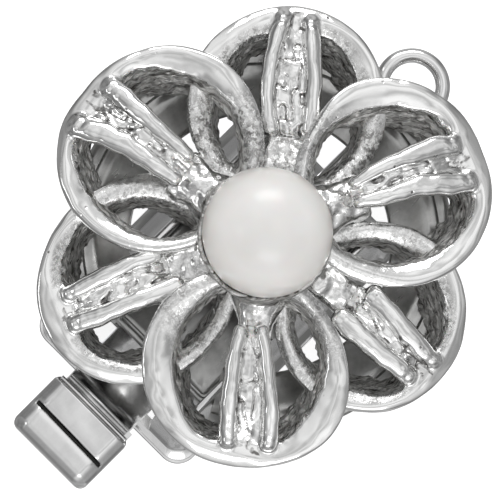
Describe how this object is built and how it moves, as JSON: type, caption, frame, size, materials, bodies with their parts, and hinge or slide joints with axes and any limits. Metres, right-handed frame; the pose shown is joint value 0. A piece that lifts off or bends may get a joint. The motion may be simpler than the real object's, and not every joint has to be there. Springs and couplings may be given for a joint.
{
  "type": "jewellery clasp",
  "caption": "Box clasp with an openwork flower top of looped petals round one white pearl, a pull-out spring tongue with a thumb block, and an eyelet for the strand.",
  "frame": {"origin": "on the flat back, under the flower's axis", "axes": "+Z out of the flower's face, +X along the clasp towards the strand's eyelet, tongue towards -X"},
  "size_m": [0.0271, 0.0224, 0.0114],
  "materials": {
    "cast_silver": "rhodium-plated cast silver, polished on its outsides, dark and rough in its recesses",
    "sheet_silver": "rhodium-plated silver sheet, polished",
    "pearl": "creamy white pearl, soft sheen"
  },
  "bodies": {
    "clasp": {"flower": "cast_silver", "pearl": "pearl", "box": "sheet_silver"},
    "tongue": {"tongue": "sheet_silver"},
    "leaf": {"spring_leaf": "sheet_silver"}
  },
  "joints": [
    {"name": "tongue_slide", "type": "slide", "parent": "clasp", "child": "tongue", "axis": [-1, 0, 0], "range_m": [0, 0.012]},
    {"name": "leaf_press", "type": "hinge", "parent": "tongue", "child": "leaf", "pos_m": [0.0029, 0, 0.00093], "axis": [0, 1, 0], "range_deg": [0, 2], "stiffness_Nm_per_rad": 0.02}
  ]
}
